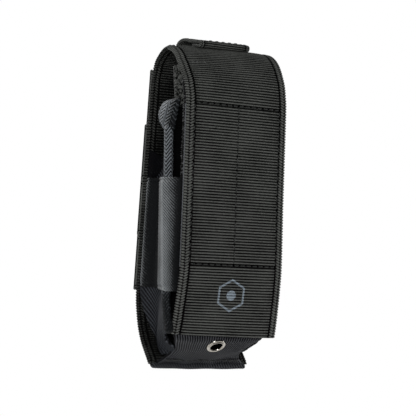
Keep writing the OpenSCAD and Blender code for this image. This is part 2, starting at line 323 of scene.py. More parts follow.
def webbing_relief(width, selvage):
    """The height of the weave: round ribs across, and two rows of knots in each selvage."""
    def relief(along, across, outer=1):
        edge = width / 2 - np.abs(across)
        phase = along / RIB
        ribs = rib_profile(along)
        knots = -RIB_DEPTH
        for middle, wide, lean in KNOTS:
            sideways = (edge / selvage - middle) / wide
            lengthways = (phase + lean * sideways) % 1 - 0.5
            bead = np.sqrt(np.clip(1 - sideways ** 2 - (2.1 * lengthways) ** 2, 0, 1))
            knots = np.maximum(knots, KNOT_HEIGHT * bead - RIB_DEPTH)
        body = step_up(edge, selvage - 0.2, selvage + 0.2)
        groove = 0.3 * np.exp(-((edge - selvage) / 0.32) ** 2) * (outer > 0)
        return body * ribs + (1 - body) * knots - groove
    return relief


def noise(tree, size, detail, roughness=0.5):
    """The output of noise that rides with its piece, with grains of the given size in millimetres."""
    where = add(tree, "ShaderNodeTexCoord")
    grains = add(tree, "ShaderNodeTexNoise", {
        "Vector": where.outputs["Object"], "Scale": 1 / (size * MM), "Detail": detail,
        "Roughness": roughness})
    return grains.outputs["Fac"]


def plus(tree, value, factor, term):
    """The output of value times factor plus term."""
    return add(tree, "ShaderNodeMath", {0: value, 1: factor, 2: term}, operation="MULTIPLY_ADD").outputs[0]


def shade(tree, factor, dark, pale):
    """The output of a colour between two hex colours."""
    mix = add(tree, "ShaderNodeMix", {"Factor": factor, "A": linear(dark), "B": linear(pale)},
              data_type="RGBA")
    return mix.outputs["Result"]


def cloth_material(name, deep, crest, yarn, roughness, sheen, gloss=0.04):
    """Black cloth, dark between its yarns and paler on their crests after the weave attribute: painted shade
    in the grooves and painted highlight on the crests, over the real relief; with fibres of the yarn size in
    mm.
    Its gloss is far under a solid plastic's, because light that enters between the fibres stays there."""
    material, tree = new_material(name)
    weave = add(tree, "ShaderNodeAttribute", attribute_name="weave")
    fibre = noise(tree, yarn, 2.0, 0.6)
    grain = plus(tree, fibre, 0.9, weave.outputs["Fac"])
    level = plus(tree, noise(tree, WEAR_SIZE, 3.0), WEAR, grain)
    tone = add(tree, "ShaderNodeMapRange", {
        "Value": level, "From Min": 0.75 + WEAR / 2, "From Max": 1.45 + WEAR / 2})
    bump = add(tree, "ShaderNodeBump", {"Height": fibre, "Strength": 0.5, "Distance": 0.2 * yarn * MM})
    cloth = add(tree, "ShaderNodeBsdfPrincipled", {
        "Base Color": shade(tree, tone.outputs[0], deep, crest), "Normal": bump.outputs[0],
        "Roughness": roughness, "IOR": 1.53, "Specular IOR Level": gloss, "Sheen Weight": sheen,
        "Sheen Roughness": 0.4})
    add(tree, "ShaderNodeOutputMaterial", {"Surface": cloth.outputs[0]})
    return material


# Black nylon webbing: matt, its ribs a little paler than the grooves between them, as painted highlight and
# painted shade.
black_webbing = cloth_material("black_nylon_webbing", "#010101", "#3e3f3d", 0.5, 0.75, 0.0, 0.015)

wide_weave = webbing_relief(WEB_WIDTH, WEB_SELVAGE)


def tilted(across, left, right):
    """A lift that runs from one height at the left selvage to another at the right."""
    share = np.clip(across / WEB_WIDTH + 0.5, 0, 1)
    return left * (1 - share) ** 1.3 + right * share ** 1.3


def crown(across):
    """The webbing stands highest along its middle, where the strap pulls it up."""
    return CROWN * (1 - (2 * across / WEB_WIDTH) ** 2)


def arch_tilt(along, across):
    """The arch leans: it is lower over the left selvage than over the right, and crowned between."""
    left = np.interp(along, [0, 6, 12, 20, 28], [0.4, 0.1, -0.7, -0.4, 0])
    right = np.interp(along, [0, 8, 20, 30], [1.1, 0.9, 0.3, 0])
    return tilted(across, left, right) + crown(across) * (1 - step_up(along, 2, 16))


back_line = smooth_line(side_view(ARCH_REAR + BACK), RIB / RIB_STEPS)
# The back webbing's inner face, inside the pouch, is painted half as pale: painted shade for the dark
# recess.
back_webbing, _ = ribbon("back_webbing", back_line, (1, 0, 0), WEB_WIDTH, WEB_THICK, wide_weave,
                         black_webbing, weave_columns(WEB_WIDTH, WEB_SELVAGE, 14), bow=arch_tilt, inside=0.5)
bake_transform(back_webbing)
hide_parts("back_panel", "flap_arch")

# ---------------------------------------------------------------------------------------------
# Webbing rows: four lengths of 1 inch webbing across the back, each sewn down at both ends with a
# dense bar tack. Rows 1 and 3 bridge over the strap, and the strap crosses over rows 2 and 4.
# ---------------------------------------------------------------------------------------------
INCH = 25.4
ROW_WIDTH = 25.3
ROW_REACH = 27
ROW_THICK = 2.0
ROW_SELVAGE = 2.0
ROW_FACE = -1.8
STRAP_HALF = 13.2
NOTCH = 1.3
THREAD, THREAD_DIP = 0.3, 0.55
TACK_PLACES = (-22.4, -17.6, 17.6, 22.4)
TACK_WIDTH = 1.5
TACK_REACH = 10.6
TACK_STEP = 0.85
STITCH_RISE = 0.25


def bundle(name, points, material, weave):
    """One mesh of many small rods: points holds, for each rod, its rings of points."""
    count = points.shape[1] * points.shape[2]
    index = np.arange(count).reshape(points.shape[1:3])
    index = np.concatenate([index, index[:, :1]], axis=1)
    shift = (np.arange(len(points)) * count)[:, None, None]
    each = (grid_quads(index), index[:1, -2::-1], index[-1:, :-1])
    groups = [(faces[None] + shift).reshape(-1, faces.shape[1]) for faces in each]
    return make_mesh(name, points.reshape(-1, 3), groups, material, weave)


def threads(name, starts, ends, up, material):
    """Sewn stitches: each a short thread from its start to its end, whose ends dip into the cloth."""
    starts, ends, up = (np.asarray(a, float).reshape(-1, 3) for a in (starts, ends, up))
    t = np.array([0, 0.1, 0.25, 0.5, 0.75, 0.9, 1])
    middle = starts[:, None] + (ends - starts)[:, None] * t[:, None]
    middle = middle - up[:, None] * (THREAD_DIP * np.abs(2 * t - 1) ** 4)[:, None]
    side = unit(np.cross(up, ends - starts))
    angle = np.linspace(0, 2 * np.pi, 8, endpoint=False)
    ray = (np.cos(angle)[:, None] * side[:, None] + np.sin(angle)[:, None] * up[:, None]) * THREAD
    points = middle[:, :, None] + ray[:, None]
    # Each stitch is painted paler on its outer side and darker on the side against the cloth: painted
    # highlight and painted shade.
    return bundle(name, points, material, np.broadcast_to(0.55 + 0.45 * np.sin(angle), points.shape[:3]))


# Bonded nylon sewing thread: smooth and a little glossier than the webbing, so each stitch shows.
sewing_thread = cloth_material("black_bonded_thread", "#040404", "#1d1e1d", 0.25, 0.5, 0.0, 0.08)

row_weave = webbing_relief(ROW_WIDTH, ROW_SELVAGE)
FLAT_ROW = [(-ROW_REACH, ROW_FACE), (-12, ROW_FACE), (0, ROW_FACE), (12, ROW_FACE), (ROW_REACH, ROW_FACE)]
BRIDGE_ROW = [(-ROW_REACH, ROW_FACE), (-19, ROW_FACE), (-16.6, -1.6), (-14.2, -0.3), (-12, 0), (0, 0),
              (12, 0), (14.2, -0.3), (16.6, -1.6), (19, ROW_FACE), (ROW_REACH, ROW_FACE)]
# Each row: its number from the top, its plan, how far the strap draws in its upper and its lower edge, and
# half its length.
ROWS = ((1, BRIDGE_ROW, 0, NOTCH, 25.4), (2, FLAT_ROW, NOTCH, NOTCH, 26.2),
        (3, BRIDGE_ROW, NOTCH, 4.2, 26.2), (4, FLAT_ROW, 0, 0, 26.0))


def drawn_in(above, below, reach):
    """How the edges of a row are drawn in where the strap crosses them."""
    def shape(along, across):
        near = 1 - step_up(np.abs(along - reach), STRAP_HALF, STRAP_HALF + 2.5)
        share = np.clip(across / (ROW_WIDTH / 2), -1, 1)
        notch = above * np.clip(share, 0, 1) + below * np.clip(share, -1, 0)
        return across - near * notch * np.abs(share)
    return shape


for number, plan, notch_above, notch_below, reach in ROWS:
    middle = INCH * (2 - number)
    line = np.array([(np.clip(x, -reach, reach), y, middle) for x, y in plan])
    row, on_row = ribbon(f"webbing_band_{number}", smooth_line(line, RIB / RIB_STEPS), (0, 0, 1), ROW_WIDTH,
                         ROW_THICK, row_weave, black_webbing, weave_columns(ROW_WIDTH, ROW_SELVAGE, 12),
                         shape=drawn_in(notch_above, notch_below, reach))
    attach(row, "pouch")
    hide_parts(f"webbing_row_{number}")
    levels = np.arange(-TACK_REACH, TACK_REACH, TACK_STEP)
    starts, ends, ways = [], [], []
    for place in TACK_PLACES:
        at = place + reach
        first, way = on_row(at - TACK_WIDTH / 2, levels, STITCH_RISE)
        last, _ = on_row(at + TACK_WIDTH / 2, levels + TACK_STEP / 2, STITCH_RISE)
        starts.append(first)
        ends.append(last)
        ways.append(way)
    tacks = threads(f"bar_tacks_{number}", np.vstack(starts), np.vstack(ends), np.vstack(ways),
                    sewing_thread)
    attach(tacks, "pouch")

# ---------------------------------------------------------------------------------------------
# Strap: 1 inch webbing woven through the rows. Its top folds over the arch as a pull tab, doubled
# under and sewn; its lower end is the free tail that carries the cap of the snap.
# ---------------------------------------------------------------------------------------------
STRAP_WIDTH = 25.4
STRAP_THICK, TAB_THICK = 1.8, 1.6
TAB = [(-18.5, 49.5), (-22.4, 49.1), (-25.6, 48.9), (-26.9, 49.5), (-27.3, 50.7), (-26.8, 51.8),
       (-25.4, 52.3), (-21, 52.6), (-15.8, 53.1), (-11, 54.0), (-6.8, 53.8), (-3.4, 52.4),
       (-1.6, 49.6), (-1.4, 45.7), (-1.9, 41), (-2.05, 36), (-2.05, 25.2)]
LOWER = [(-2.05, 24.6), (-2.05, 16), (-1.7, 13.8), (-0.4, 12), (0, 10.4), (0, 0), (0, -10.4), (-0.4, -12),
         (-1.7, -13.8), (-2.05, -16), (-2.05, -32.2), (-1.7, -34.2), (-0.5, -36.2), (0, -38.2), (0, -46),
         (0, -63)]
TAB_TILT = 0.45
STITCH = 3.2
STITCH_LENGTH = 2.3
SEAM_RISE = 0.1
STRAP_SEAM = 11.4
TAB_SEAMS_AT = (13.6, 19.0)
TAIL_SEAMS_Z = (-60.6, -41.2)

strap_weave = webbing_relief(STRAP_WIDTH, ROW_SELVAGE)
strap_columns = weave_columns(STRAP_WIDTH, ROW_SELVAGE, 12)


def tab_tilt(along, across):
    """The folded end of the tab lies on the crown of the arch, so its right end is a little higher."""
    up = np.interp(along, [0, 7, 11, 14, 30], [-1, -1, 0, 1, 0])
    return TAB_TILT * up * (across / STRAP_WIDTH + 0.5)


tab_line = smooth_line(side_view(TAB), RIB / RIB_STEPS)
strap_top, on_tab = ribbon("strap_tab_webbing", tab_line, (1, 0, 0), STRAP_WIDTH, TAB_THICK, strap_weave,
                           black_webbing, strap_columns, bow=tab_tilt)
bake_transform(strap_top)
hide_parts("strap_tab")
lower_line = smooth_line(side_view(LOWER), RIB / RIB_STEPS)
strap_low, on_strap = ribbon("strap_webbing", lower_line, (1, 0, 0), STRAP_WIDTH, STRAP_THICK, strap_weave,
                             black_webbing, strap_columns)
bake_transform(strap_low)
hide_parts("woven_strap", "strap_tail")


def seam(on_face, from_at, to_at):
    """The starts, ends and ways out of a row of stitches between two places (along, across) of a face."""
    first, last = np.array(from_at, float), np.array(to_at, float)
    length = np.linalg.norm(last - first)
    count = max(1, round(length / STITCH))
    step = (last - first) / count
    begin = first + step * np.arange(count)[:, None] + step * (1 - STITCH_LENGTH / STITCH) / 2
    finish = begin + step * STITCH_LENGTH / STITCH
    a, way = on_face(begin[:, 0], begin[:, 1], SEAM_RISE)
    b, _ = on_face(finish[:, 0], finish[:, 1], SEAM_RISE)
    return a, b, way


def sewn(name, on_face, lines, body):
    """The stitches of several seams on one face, as one piece that rides on a body."""
    parts = [seam(on_face, *line) for line in lines]
    piece = threads(name, *(np.vstack([part[k] for part in parts]) for k in range(3)), sewing_thread)
    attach(piece, body)


def strap_seams(places):
    """Seams across the strap, at each distance along it."""
    return [((at, -STRAP_SEAM), (at, STRAP_SEAM)) for at in places]


sewn("tab_stitching", on_tab, strap_seams(TAB_SEAMS_AT), "flap_top")
tail_at = [np.interp(-z, -lower_line[0][:, 2], lower_line[1]) for z in TAIL_SEAMS_Z]
sewn("tail_stitching", on_strap, strap_seams(tail_at), "tail")

# ---------------------------------------------------------------------------------------------
# Snap: a pressed brass cap and socket on the tail, and a stud riveted through row 4 and the back
# panel. All of its parts carry black oxide, a little scuffed.
# ---------------------------------------------------------------------------------------------
SNAP_PLACE = (0, 0, -50.8)
CAP_PROFILE = [(6.2, -0.2), (6.3, 0.25), (6.1, 0.6), (5.6, 0.85), (4.9, 0.95), (4.6, 0.85), (4.2, 0.95),
               (3.2, 1.2), (1.8, 1.3), (0.3, 1.3)]
# The height in the weave that a body without one counts as, for its shade.
SMOOTH = 0.8


def tube(name, path, one, two, material, heights, closed=False, weave=None):
    """A closed round body. path is its middle, and one and two are the rays of each ring, which give its
    size; heights swell it, and closed joins its last ring to its first instead of capping both."""
    angle = np.linspace(0, 2 * np.pi, heights.shape[1], endpoint=False)[None, :, None]
    ray = np.cos(angle) * one[:, None] + np.sin(angle) * two[:, None]
    points = path[:, None] + ray + unit(ray) * heights[..., None]
    index = np.arange(heights.size).reshape(heights.shape)
    index = np.concatenate([index, index[:, :1]], axis=1)
    if closed:
        groups = [grid_quads(np.concatenate([index, index[:1]]))]
    else:
        groups = [grid_quads(index), index[:1, -2::-1], index[-1:, :-1]]
    return make_mesh(name, points.reshape(-1, 3), groups, material,
                     np.full(heights.shape, SMOOTH) if weave is None else weave)


def metal_material(name, bright, dark, roughness, grit):
    """Plated pressed brass: bright, with faint scuffs that spread its highlights unevenly."""
    material, tree = new_material(name)
    scuff = noise(tree, grit, 4.0, 0.7)
    shine = add(tree, "ShaderNodeMapRange", {
        "Value": scuff, "From Min": 0.3, "From Max": 0.7, "To Min": roughness * 0.7,
        "To Max": roughness * 1.4})
    bump = add(tree, "ShaderNodeBump", {"Height": scuff, "Strength": 0.25, "Distance": 0.05 * MM})
    plate = add(tree, "ShaderNodeBsdfPrincipled", {
        "Base Color": shade(tree, scuff, dark, bright), "Roughness": shine.outputs[0],
        "Normal": bump.outputs[0], "Metallic": 1.0})
    add(tree, "ShaderNodeOutputMaterial", {"Surface": plate.outputs[0]})
    return material


# Bright nickel plate, warm and mirror smooth, on the eyelet; black oxide, a soft grey shine, on the snap.
nickel_plate = metal_material("nickel_plate", "#8f8b85", "#45423e", 0.09, 0.6)
black_oxide = metal_material("black_oxide_brass", "#3b3c3e", "#1c1d1e", 0.34, 0.8)


def turned(name, profile, place, axis, material, closed=False):
    """A turned or pressed part: the profile of (radius, height) points goes round the axis at place."""
    axis = unit(np.array(axis, float))
    one = unit(np.cross(axis, (1.0, 0.3, 0.0)))
    two = np.cross(axis, one)
    points = np.array(profile, float)
    path = np.array(place, float) + axis * points[:, 1:]
    return tube(name, path, one * points[:, :1], two * points[:, :1], material,
                np.zeros((len(points), 64)), closed)


cap_profile = smooth_line(CAP_PROFILE, 0.12)[0]
snap_cap = turned("snap_cap_black", cap_profile, SNAP_PLACE, (0, 1, 0), black_oxide)
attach(snap_cap, "tail")
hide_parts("snap_cap")
for node in ("snap_socket", "snap_stud", "snap_post"):
    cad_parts[node].data.materials.clear()
    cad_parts[node].data.materials.append(black_oxide)

# ---------------------------------------------------------------------------------------------
# Front panel: the same wide webbing, bent into a shallow channel whose sides turn back, with a head
# that leans in under the arch. Loop tape for the flap is sewn down its front.
# ---------------------------------------------------------------------------------------------
PANEL_TOP = (-36.4, 24.5)
PANEL_LEAN, HEAD_LEAN = math.radians(3.68), math.radians(15.4)
PANEL_LENGTH, HEAD_LENGTH = 98.2, 19.5
PANEL_PLAN = [(-25.2, 8.4), (-24.5, 5.6), (-23.2, 3.4), (-20.8, 1.2), (-17.5, 0), (-9, 0), (0, 0), (9, 0),
              (17.5, 0), (20.8, 1.2), (23.2, 3.4), (24.5, 5.6), (25.2, 8.4)]
LOOP_WIDTH, LOOP_THICK, LOOP_LENGTH = 46.0, 1.4, 81.0
# The loops are drawn as clumps of this size, coarser than the hair-thin loops of real tape.
LOOP_STEP = 0.36
LOOP_DEPTH = 0.5
LOOP_SEAM = 1.8


def leaning(distance):
    """The place (y, z) at a distance below the head's crease on the panel's face; the head is above it."""
    lean = np.where(distance > 0, PANEL_LEAN, HEAD_LEAN)
    return np.stack([PANEL_TOP[0] - distance * np.sin(lean), PANEL_TOP[1] - distance * np.cos(lean)], -1)


def nap(points, step, seed, rough):
    """Random nap between 0 and 1, summed from waves of about the given length in millimetres."""
    rng = np.random.default_rng(seed)
    total = 0
    for _ in range(16):
        way = rng.normal(size=3)
        turns = points @ (way / np.linalg.norm(way)) * 2 * np.pi / step
        total = total + np.sin(turns * rng.uniform(0.8, 1.3) + rng.uniform(0, 6.28))
    return np.clip(0.5 + rough * total / 11, 0, 1)


plan = smooth_line(PANEL_PLAN, 0.55)[0]
down = np.arange(-HEAD_LENGTH + 2, PANEL_LENGTH, RIB / RIB_STEPS)[::-1]
crease = leaning(down)
lean = HEAD_LEAN + (PANEL_LEAN - HEAD_LEAN) * step_up(down, -3, 3)
face = np.stack([
    np.broadcast_to(plan[:, 0], (len(down), len(plan))),
    crease[:, :1] + np.cos(lean)[:, None] * plan[:, 1],
    crease[:, 1:] - np.sin(lean)[:, None] * plan[:, 1]], -1)
slope = np.gradient(plan, axis=0)
facing = unit(np.stack([slope[:, 1], -slope[:, 0]], -1))
out = np.stack([
    np.broadcast_to(facing[:, 0], face.shape[:2]),
    np.cos(lean)[:, None] * facing[:, 1], -np.sin(lean)[:, None] * facing[:, 1]], -1)
ribs = np.tile(rib_profile(down)[:, None], len(plan))
# The head is covered in loop tape too, so it has random grains in place of ribs.
looped = step_up(-down, -4, -2)[:, None]
grains = np.random.default_rng(3).random((len(down) // 3 + 1, len(plan)))
fuzz = LOOP_DEPTH * (np.repeat(grains, 3, axis=0)[:len(down)] - 1)
rise = ribs * (1 - looped) + fuzz * looped
ends = np.minimum(down - down[-1], down[0] - down)
sides = PANEL_PLAN[-1][0] - np.abs(plan[:, 0])
full = np.maximum(round_edge(ends, 1.1)[:, None] * round_edge(sides, 0.5), EDGE)
# Painted shade: darker where the panel turns back at its sides, for the shadow of the flap's edge and the
# roll.
painted_side_shade = 1 - 0.9 * step_up(np.abs(plan[:, 0]), 18.5, 21) * (1 - looped)
front_webbing = woven("front_webbing", face, out, WEB_THICK, [rise, ribs], full, black_webbing,
                      [(1 + rise / RIB_DEPTH) * painted_side_shade, 1 + ribs / RIB_DEPTH])
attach(front_webbing, "pouch")
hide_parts("front_panel")

# Loop tape: brushed nylon loops, softer and paler than the webbing.
loop_pile = cloth_material("brushed_loop_tape", "#070707", "#4a4b4c", 0.35, 0.8, 0.1)


def pile_relief(along, across, outer=1):
    """Brushed loops, in soft clumps."""
    spot = np.stack([across, along, np.zeros_like(along)], -1)
    return LOOP_DEPTH * (nap(spot, 1.3, 7, 1.4) * nap(spot, 0.8, 8, 1.4) - 1) * (outer > 0)


def round_panel(along, across):
    """The tape follows the front panel back round its sides."""
    return -np.interp(np.abs(across), [17.5, 19.2, 20.8, 22, 23.2], [0, 0.5, 1.2, 2.1, 3.4])


loop_down = np.linspace(LOOP_LENGTH, -HEAD_LENGTH + 1, 40)
loop_face = leaning(loop_down) + np.array([-LOOP_THICK, -LOOP_THICK * 0.06])
loop_line = smooth_line(side_view(loop_face), LOOP_STEP)
loop_columns = np.linspace(-LOOP_WIDTH / 2, LOOP_WIDTH / 2, round(LOOP_WIDTH / LOOP_STEP))
loop_tape, on_loop = ribbon("loop_tape", loop_line, (1, 0, 0), LOOP_WIDTH, LOOP_THICK, pile_relief,
                            loop_pile, loop_columns, bow=round_panel)
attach(loop_tape, "pouch")
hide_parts("loop_patch")


def rectangle(low, high, left, right):
    """The four seams of a rectangle of stitches on a face."""
    return [((low, left), (low, right)), ((high, left), (high, right)),
            ((low, left), (high, left)), ((low, right), (high, right))]


loop_edge = LOOP_WIDTH / 2 - LOOP_SEAM
loop_end = LOOP_LENGTH + HEAD_LENGTH - 1 - LOOP_SEAM
sewn("loop_tape_stitching", on_loop, rectangle(LOOP_SEAM, loop_end, -loop_edge, loop_edge), "pouch")

# ---------------------------------------------------------------------------------------------
# Side gussets: thin packcloth in a diagonal basket weave, folded inward between the back panel and
# the front, so that the pouch can open over a thick tool. Sewn into the binding and the bottom.
# ---------------------------------------------------------------------------------------------
GUSSET_PLAN = [(-24.6, -6.1), (-22.6, -9), (-21, -13.5), (-20.4, -19), (-20.8, -24.6), (-22.6, -28.6),
               (-24.2, -30.6), (-24.4, -34.5)]
GUSSET_TOP = [(-34.5, -77), (-34.2, -74), (-30.3, -9.4), (-6.1, 1.3)]
GUSSET_FOOT = [(-34.5, -87), (-32.6, -88.4), (-27.8, -90), (-21.6, -91.4), (-15, -85.3), (-11.2, -79.3),
               (-8.3, -72.5), (-6.7, -66), (-6.1, -60)]
FLOOR_HALF = [(-96.5, 24.4), (-95.2, 22.8), (-93.6, 19.8), (-91.6, 18), (-89, 18.1), (-86, 20), (-83, 22),
              (-79.5, 23.2), (-70, 23)]
CLOTH_THICK = 0.8
# The basket weave is drawn about three times as coarse as real packcloth, so that it can be told apart.
BASKET, BASKET_DEPTH = 2.0, 0.16
SLACK, PLEAT = 0.7, 2.0
# Painted shade: where the weave is painted dark for the shadow in the gusset's recess; below these heights,
# by how far forward the place is.
GUSSET_PAINTED_SHADE = ((8, 20, 24), (-14, 0, 2))
SIDES = (("left", 1), ("right", -1))


def ripple(turns):
    """A wave between 0 and 1 that comes round once a turn."""
    return 0.5 + 0.5 * np.sin(2 * np.pi * turns)


def surface_out(face):
    """The way out of the left-hand side of the pouch at each point of a grid."""
    return unit(np.cross(np.gradient(face, axis=0), np.gradient(face, axis=1)))


def side_cloth(name, sign, face, out, thick, height, full, material, weave):
    """A closed cloth from left-hand grids, taken as they are or mirrored for the right-hand side."""
    if sign < 0:
        face, out = face[:, ::-1] * (-1, 1, 1), out[:, ::-1] * (-1, 1, 1)
        height, full, weave = height[:, ::-1], full[:, ::-1], weave[:, ::-1]
    return woven(name, face, out, thick, [height, height], full, material, [weave, weave])


# Packcloth: fine filament nylon with a coated back, so it has a faint cool gloss.
packcloth = cloth_material("black_packcloth", "#010102", "#2f3135", 0.4, 0.6, 0.0, 0.03)

plan = smooth_line(GUSSET_PLAN, 0.3)[0]
top = np.interp(plan[:, 1], *np.array(GUSSET_TOP).T)
foot = np.interp(plan[:, 1], *np.array(GUSSET_FOOT).T)
share = np.linspace(0, 1, 330)[:, None]
heights = top + (foot - top) * share
face = np.stack([*np.broadcast_arrays(plan[:, 0], plan[:, 1], heights)], -1)
spread = distances(plan)
basket = 0.7 * ripple((spread + heights) / BASKET) + 0.3 * ripple((spread - heights) / BASKET)
basket = basket * (1 - 0.7 * step_up(heights - np.interp(-plan[:, 1], *GUSSET_PAINTED_SHADE), -1.5, 1.5))
sag = SLACK * (nap(face, 26, 11, 0.8) - 0.5) * np.minimum(1, np.minimum(spread, spread[-1] - spread) / 5)
lower = step_up(-face[..., 2], 58, 84)
pleat = PLEAT * lower * np.sin((spread / spread[-1]) * 9.0 - 1.0) * np.sin(np.pi * spread / spread[-1])
face[..., 0] += sag + pleat
# Its foot is sewn to the floor panel, so there it comes in to the floor's edge.
seam_x = 0.4 - np.interp(face[..., 2], *np.array(FLOOR_HALF).T)
joins = step_up(share, 0.55, 1) * step_up(-plan[:, 1], 14, 27) * step_up(-face[..., 2], 74, 84)
face[..., 0] += joins * (np.maximum(seam_x, face[..., 0]) - face[..., 0])
out = surface_out(face)
full = np.tile(np.maximum(round_edge(np.minimum(share, 1 - share) * 70, 0.4), EDGE), len(plan))
for side, sign in SIDES:
    gusset = side_cloth(f"gusset_cloth_{side}", sign, face, out, CLOTH_THICK, BASKET_DEPTH * (basket - 1),
                        full, packcloth, basket)
    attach(gusset, "pouch")
    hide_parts(f"side_gusset_{side}")

# ---------------------------------------------------------------------------------------------
# Side bindings: soft herringbone tape rolled over the gusset's front edge and stuffed tight by its
# seam. At the top the tape is folded back over itself and sewn down as a flat dog ear.
# ---------------------------------------------------------------------------------------------
ROLL = [(-27.3, 12.5), (-28.6, 4), (-30.2, -8), (-32.4, -26), (-34.6, -46), (-36.2, -60), (-38, -70),
        (-40.5, -77.2), (-41.3, -79.4)]
ROLL_X, ROLL_BEND, ROLL_RADIUS, ROLL_FLAT = -26.2, 0.7, 2.55, 1.9
EAR_BACK = [(-22.6, 10.2), (-20.4, 11.9), (-17.8, 14), (-16.1, 16.6), (-16.2, 18.8), (-18.6, 21.8),
            (-22.5, 23.6)]
EAR_FRONT = [(-30.4, 10.2), (-31.2, 13), (-32, 16), (-32.8, 19), (-33.4, 21.5), (-33.8, 23.6),
             (-33.9, 24.6)]
EAR_X, EAR_PUFF, EAR_THICK = -25.9, 1.7, 2.3
EAR_SLANT = math.radians(24)
EAR_HEIGHT = 12
# The herringbone is drawn about twice as coarse as the real tape's.
CHEVRON, CHEVRON_WIDTH, CHEVRON_DEPTH = 1.75, 3.0, 0.2


def herringbone(across, along):
    """A twill whose slant turns about in columns: 0 in its furrows and 1 on its crests."""
    column = np.abs((across / CHEVRON_WIDTH) % 2 - 1) * CHEVRON_WIDTH
    return ripple((along + column) / CHEVRON)


# Herringbone tape: spun polyester, softer and cooler in colour than the webbing.
herringbone_tape = cloth_material("herringbone_tape", "#040506", "#606468", 0.4, 0.7, 0.0)

roll_line, roll_along = smooth_line(side_view(ROLL), 0.24)
roll_line[:, 0] = ROLL_X + ROLL_BEND * step_up(-roll_line[:, 2], 64, 79)
angle = np.linspace(0, 2 * np.pi, 56, endpoint=False)
tangent = unit(np.gradient(roll_line, axis=0))
outward = np.broadcast_to([-1.0, 0, 0], tangent.shape)
forth = unit(np.cross(tangent, outward))
taper = round_edge(np.minimum(roll_along, roll_along[-1] - roll_along), 2.2)[:, None]
twill = herringbone(angle[None] * ROLL_RADIUS, roll_along[:, None])
# Painted shade: the roll is darkened below the elastic pocket, for the shadow under it.
below = 1 - 0.6 * step_up(-roll_line[:, 2], 58, 64)
wobble = 1 + 0.05 * np.sin(roll_along / 7.0) + 0.03 * np.sin(roll_along / 2.9 + 1)

rows, cols = np.linspace(1, 0, 90), np.linspace(0, 1, 84)
back, front = (smooth_line(outline, 0.1)[0] for outline in (EAR_BACK, EAR_FRONT))
back, front = (spots(rows, np.linspace(0, 1, len(edge)), edge) for edge in (back, front))
flat = back[:, None] + (front - back)[:, None] * cols[None, :, None]
bulge = np.sin(np.pi * np.clip(cols, 0.02, 0.98)) ** 0.5
puff = bulge * np.sin(np.pi * (0.1 + 0.85 * rows))[:, None] ** 0.4
ear_face = np.concatenate([(EAR_X - EAR_PUFF * puff)[..., None], flat], -1)
ear_out = np.broadcast_to([-1.0, 0, 0], ear_face.shape)
width = np.linalg.norm(front - back, axis=1)[:, None]
edge = np.minimum(np.minimum(cols, 1 - cols) * width, np.minimum(rows, 1 - rows)[:, None] * EAR_HEIGHT)
ear_full = round_edge(edge, EAR_THICK / 2)
u = flat[..., 0] * math.cos(EAR_SLANT) + flat[..., 1] * math.sin(EAR_SLANT)
v = flat[..., 1] * math.cos(EAR_SLANT) - flat[..., 0] * math.sin(EAR_SLANT)
chevron = herringbone(u, v)
# Painted shadow: the ear is darkened towards its front edge, where the flap shades it.
ear_painted_shadow = 1 - 0.6 * step_up(cols, 0.45, 0.95)

for side, sign in SIDES:
    mirror = np.array([sign, 1, 1])
    roll = tube(f"side_roll_{side}", roll_line * mirror,
                outward * mirror * ROLL_FLAT * taper * wobble[:, None],
                forth * ROLL_RADIUS * taper * sign, herringbone_tape, CHEVRON_DEPTH * (twill - 1),
                weave=(0.2 + 0.65 * twill) * below[:, None])
    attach(roll, "pouch")
    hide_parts(f"side_binding_{side}")
    ear = side_cloth(f"binding_ear_{side}", sign, ear_face, ear_out, EAR_THICK, 0.22 * (chevron - 1),
                     ear_full, herringbone_tape, 0.9 * chevron * ear_painted_shadow)
    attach(ear, "pouch")
    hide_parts(f"binding_end_{side}")

# ---------------------------------------------------------------------------------------------
# Side pockets: wide woven elastic, sewn in at the back panel and behind the front panel, and
# stretched round the side so that it bulges and holds a slim tool. Steep twill over rubber cores.
# ---------------------------------------------------------------------------------------------
ELASTIC_HEAD = [(-24.4, -6.3), (-25.3, -7.4), (-25.3, -9), (-24.2, -10.6), (-22.6, -12.8), (-22, -15.6),
                (-22.4, -18), (-24.2, -20), (-26.6, -22.4), (-28.2, -26), (-29.2, -29.6), (-29.5, -31.4),
                (-29.2, -33), (-28.4, -36.5), (-27.2, -39.4), (-25.4, -40.9), (-22, -41), (-20.6, -40.8)]
ELASTIC_FOOT = [(-24.4, -6.8), (-25.4, -8), (-25.4, -9.8), (-24.2, -11.8), (-22.6, -14.8), (-22.1, -18.6),
                (-22.6, -21.6), (-24.4, -24.6), (-26.4, -28), (-28, -33), (-29.3, -38.4), (-29.6, -40.2),
                (-29.3, -41.6), (-28.6, -43), (-27.4, -44), (-25.4, -44.2), (-22, -43.6), (-20.6, -43.2)]
# Painted light and shade along the elastic's fold: darkest in the recess where it is sewn in, palest on the
# bulge that stands out to the light.
ELASTIC_PAINTED_LIGHT = [(0, 0.6), (2.2, 0.7), (4, 0.3), (7, 0.08), (13, 0.1), (16, 0.45), (24, 0.6), (26.4, 1.0),
               (31, 0.95), (36, 0.6), (39, 0.15)]
ELASTIC_TOP, ELASTIC_HEIGHT, ELASTIC_THICK = -11.8, 50.0, 1.5
ELASTIC_RISE = 0.03
# The twill is drawn about twice as coarse as real elastic's. It climbs by these parts of a line.
TWILL, TWILL_DEPTH = 1.1, 0.2
TWILL_SLANT = (0.55, 0.83)
HEM_GROOVE, HEM_AT = 0.35, 1.4

# Woven elastic: textured polyester over rubber, the palest cloth on the sheath, its crests painted paler as
# highlight.
woven_elastic = cloth_material("black_woven_elastic", "#08090a", "#5f6264", 0.35, 0.75, 0.0)

